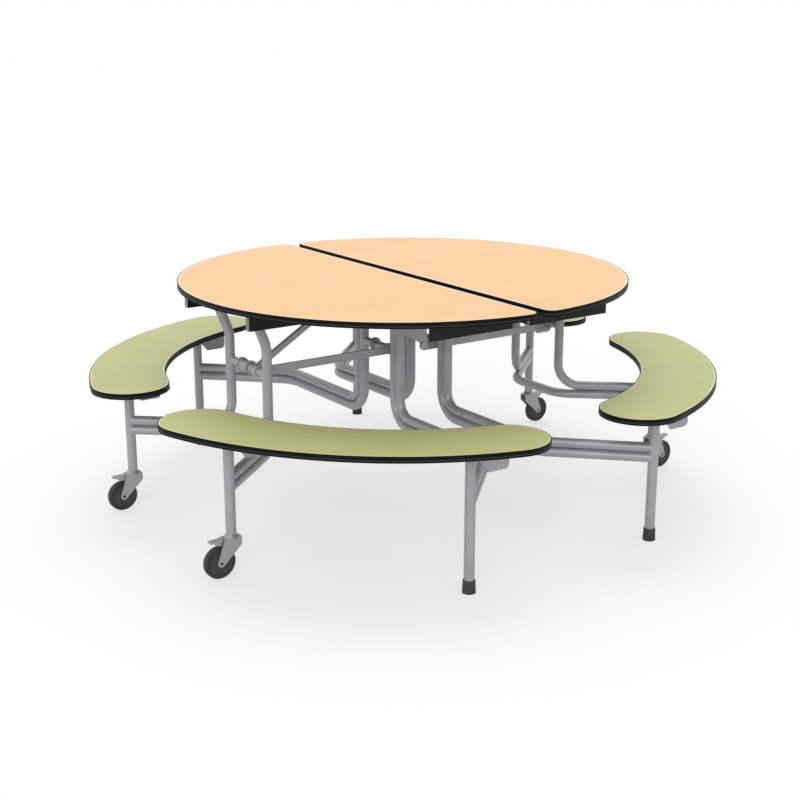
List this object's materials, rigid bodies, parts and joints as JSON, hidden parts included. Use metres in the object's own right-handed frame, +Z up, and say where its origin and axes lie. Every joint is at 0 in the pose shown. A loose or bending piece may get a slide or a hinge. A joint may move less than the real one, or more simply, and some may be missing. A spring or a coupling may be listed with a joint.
{
  "type": "folding_cafeteria_table",
  "caption": "Round folding cafeteria table in two halves with curved benches on a tubular steel frame with casters and rubber-tipped legs.",
  "frame": {"origin": "On the floor under the middle of the table, at the bottom centre of the bounding box.", "axes": "+Z up; Y along the seam between the two halves; X across them, with the left half at -X."},
  "size_m": [2.0432, 2.0242, 0.762],
  "materials": {
    "top_laminate": "satin",
    "seat_laminate": "satin",
    "edge_moulding": "satin",
    "apron_paint": "satin",
    "frame_paint": "satin",
    "zinc_plate": "satin",
    "wheel_rubber": "matte",
    "black_rubber": "matte"
  },
  "bodies": {
    "centre_frame": {"left_front_arm": "frame_paint", "left_rear_arm": "frame_paint", "right_front_arm": "frame_paint", "right_rear_arm": "frame_paint", "glide_legs": "frame_paint", "glide_tips": "black_rubber", "centre_pivot_tubes": "frame_paint", "centre_beams": "frame_paint"},
    "left_caster_frame": {"left_caster_legs": "frame_paint", "left_lower_tube": "frame_paint", "left_pivot_tube": "frame_paint", "left_front_table_leg": "frame_paint", "left_rear_table_leg": "frame_paint"},
    "left_top": {"left_top_board": "top_laminate", "left_top_edge": "edge_moulding", "left_long_aprons": "apron_paint", "left_seam_aprons": "apron_paint", "left_seam_catch": "frame_paint", "left_top_brackets": "frame_paint", "latch_plate": "frame_paint"},
    "left_link": {"left_link_bar": "frame_paint"},
    "left_lift": {"left_lift_arm": "frame_paint"},
    "left_front_bench": {"left_front_seat_board": "seat_laminate", "left_front_seat_edge": "edge_moulding", "left_front_bench_brackets": "frame_paint"},
    "left_front_caster": {"left_front_caster_fork": "zinc_plate"},
    "left_front_wheel": {"left_front_caster_wheel": "wheel_rubber"},
    "left_front_pedal": {"left_front_caster_brake_pedal": "zinc_plate"},
    "left_rear_bench": {"left_rear_seat_board": "seat_laminate", "left_rear_seat_edge": "edge_moulding", "left_rear_bench_brackets": "frame_paint"},
    "left_rear_caster": {"left_rear_caster_fork": "zinc_plate"},
    "left_rear_wheel": {"left_rear_caster_wheel": "wheel_rubber"},
    "left_rear_pedal": {"left_rear_caster_brake_pedal": "zinc_plate"},
    "right_caster_frame": {"right_caster_legs": "frame_paint", "right_lower_tube": "frame_paint", "right_pivot_tube": "frame_paint", "right_front_table_leg": "frame_paint", "right_rear_table_leg": "frame_paint"},
    "right_top": {"right_top_board": "top_laminate", "right_top_edge": "edge_moulding", "right_long_aprons": "apron_paint", "right_seam_aprons": "apron_paint", "right_seam_catch": "frame_paint", "right_top_brackets": "frame_paint"},
    "right_link": {"right_link_bar": "frame_paint"},
    "right_lift": {"right_lift_arm": "frame_paint"},
    "right_front_bench": {"right_front_seat_board": "seat_laminate", "right_front_seat_edge": "edge_moulding", "right_front_bench_brackets": "frame_paint"},
    "right_front_caster": {"right_front_caster_fork": "zinc_plate"},
    "right_front_wheel": {"right_front_caster_wheel": "wheel_rubber"},
    "right_front_pedal": {"right_front_caster_brake_pedal": "zinc_plate"},
    "right_rear_bench": {"right_rear_seat_board": "seat_laminate", "right_rear_seat_edge": "edge_moulding", "right_rear_bench_brackets": "frame_paint"},
    "right_rear_caster": {"right_rear_caster_fork": "zinc_plate"},
    "right_rear_wheel": {"right_rear_caster_wheel": "wheel_rubber"},
    "right_rear_pedal": {"right_rear_caster_brake_pedal": "zinc_plate"}
  },
  "joints": [
    {"name": "fold", "type": "hinge", "parent": "left_caster_frame", "child": "left_top", "pos_m": [-0.63646, 0, 0.708], "axis": [0, -1, 0], "range_deg": [0, 90]},
    {"name": "left_top_inner_pivot", "type": "hinge", "parent": "left_top", "child": "centre_frame", "pos_m": [-0.1346, 0, 0.708], "axis": [0, 1, 0], "range_deg": [0, 90]},
    {"name": "right_top_inner_pivot", "type": "hinge", "parent": "centre_frame", "child": "right_top", "pos_m": [0.1346, 0, 0.708], "axis": [0, 1, 0], "range_deg": [0, 90]},
    {"name": "right_top_outer_pivot", "type": "hinge", "parent": "right_top", "child": "right_caster_frame", "pos_m": [0.63646, 0, 0.708], "axis": [0, -1, 0], "range_deg": [0, 90]},
    {"name": "left_link_outer_pivot", "type": "hinge", "parent": "left_caster_frame", "child": "left_link", "pos_m": [-0.59986, -0.062, 0.527], "axis": [0, -1, 0], "range_deg": [0, 90]},
    {"name": "right_link_inner_pivot", "type": "hinge", "parent": "centre_frame", "child": "right_link", "pos_m": [0.098, -0.062, 0.527], "axis": [0, 1, 0], "range_deg": [0, 90]},
    {"name": "left_lift_pivot", "type": "hinge", "parent": "left_caster_frame", "child": "left_lift", "pos_m": [-0.59986, -0.04, 0.527], "axis": [0, -1, 0], "range_deg": [0, 67.5]},
    {"name": "left_front_bench_pivot", "type": "hinge", "parent": "left_caster_frame", "child": "left_front_bench", "pos_m": [-0.86177, -0.35041, 0.412], "axis": [0, -1, 0], "range_deg": [0, 90]},
    {"name": "left_rear_bench_pivot", "type": "hinge", "parent": "left_caster_frame", "child": "left_rear_bench", "pos_m": [-0.86177, 0.35041, 0.412], "axis": [0, -1, 0], "range_deg": [0, 90]},
    {"name": "right_lift_pivot", "type": "hinge", "parent": "right_caster_frame", "child": "right_lift", "pos_m": [0.59986, -0.04, 0.527], "axis": [0, 1, 0], "range_deg": [0, 67.5]},
    {"name": "right_front_bench_pivot", "type": "hinge", "parent": "right_caster_frame", "child": "right_front_bench", "pos_m": [0.86177, -0.35041, 0.412], "axis": [0, 1, 0], "range_deg": [0, 90]},
    {"name": "right_rear_bench_pivot", "type": "hinge", "parent": "right_caster_frame", "child": "right_rear_bench", "pos_m": [0.86177, 0.35041, 0.412], "axis": [0, 1, 0], "range_deg": [0, 90]},
    {"name": "left_front_swivel", "type": "hinge", "parent": "left_caster_frame", "child": "left_front_caster", "pos_m": [-0.86177, -0.35041, 0.124], "axis": [0, 0, 1], "continuous": true},
    {"name": "left_front_roll", "type": "hinge", "parent": "left_front_caster", "child": "left_front_wheel", "pos_m": [-0.90377, -0.35041, 0.05], "axis": [0, 1, 0], "continuous": true},
    {"name": "left_front_brake", "type": "hinge", "parent": "left_front_caster", "child": "left_front_pedal", "pos_m": [-0.87777, -0.35041, 0.107], "axis": [0, -1, 0], "range_deg": [0, 6]},
    {"name": "left_rear_swivel", "type": "hinge", "parent": "left_caster_frame", "child": "left_rear_caster", "pos_m": [-0.86177, 0.35041, 0.124], "axis": [0, 0, 1], "continuous": true},
    {"name": "left_rear_roll", "type": "hinge", "parent": "left_rear_caster", "child": "left_rear_wheel", "pos_m": [-0.90377, 0.35041, 0.05], "axis": [0, 1, 0], "continuous": true},
    {"name": "left_rear_brake", "type": "hinge", "parent": "left_rear_caster", "child": "left_rear_pedal", "pos_m": [-0.87777, 0.35041, 0.107], "axis": [0, -1, 0], "range_deg": [0, 6]},
    {"name": "right_front_swivel", "type": "hinge", "parent": "right_caster_frame", "child": "right_front_caster", "pos_m": [0.86177, -0.35041, 0.124], "axis": [0, 0, 1], "continuous": true},
    {"name": "right_front_roll", "type": "hinge", "parent": "right_front_caster", "child": "right_front_wheel", "pos_m": [0.90377, -0.35041, 0.05], "axis": [0, 1, 0], "continuous": true},
    {"name": "right_front_brake", "type": "hinge", "parent": "right_front_caster", "child": "right_front_pedal", "pos_m": [0.87777, -0.35041, 0.107], "axis": [0, 1, 0], "range_deg": [0, 6]},
    {"name": "right_rear_swivel", "type": "hinge", "parent": "right_caster_frame", "child": "right_rear_caster", "pos_m": [0.86177, 0.35041, 0.124], "axis": [0, 0, 1], "continuous": true},
    {"name": "right_rear_roll", "type": "hinge", "parent": "right_rear_caster", "child": "right_rear_wheel", "pos_m": [0.90377, 0.35041, 0.05], "axis": [0, 1, 0], "continuous": true},
    {"name": "right_rear_brake", "type": "hinge", "parent": "right_rear_caster", "child": "right_rear_pedal", "pos_m": [0.87777, 0.35041, 0.107], "axis": [0, 1, 0], "range_deg": [0, 6]}
  ],
  "couplings": [
    {"joint": "left_top_inner_pivot", "follows": "fold", "ratio": 1},
    {"joint": "right_top_inner_pivot", "follows": "fold", "ratio": 1},
    {"joint": "right_top_outer_pivot", "follows": "fold", "ratio": 1},
    {"joint": "left_link_outer_pivot", "follows": "fold", "ratio": 1},
    {"joint": "right_link_inner_pivot", "follows": "fold", "ratio": 1},
    {"joint": "left_lift_pivot", "follows": "fold", "ratio": 0.75},
    {"joint": "left_front_bench_pivot", "follows": "fold", "ratio": 1},
    {"joint": "left_rear_bench_pivot", "follows": "fold", "ratio": 1},
    {"joint": "right_lift_pivot", "follows": "fold", "ratio": 0.75},
    {"joint": "right_front_bench_pivot", "follows": "fold", "ratio": 1},
    {"joint": "right_rear_bench_pivot", "follows": "fold", "ratio": 1}
  ]
}
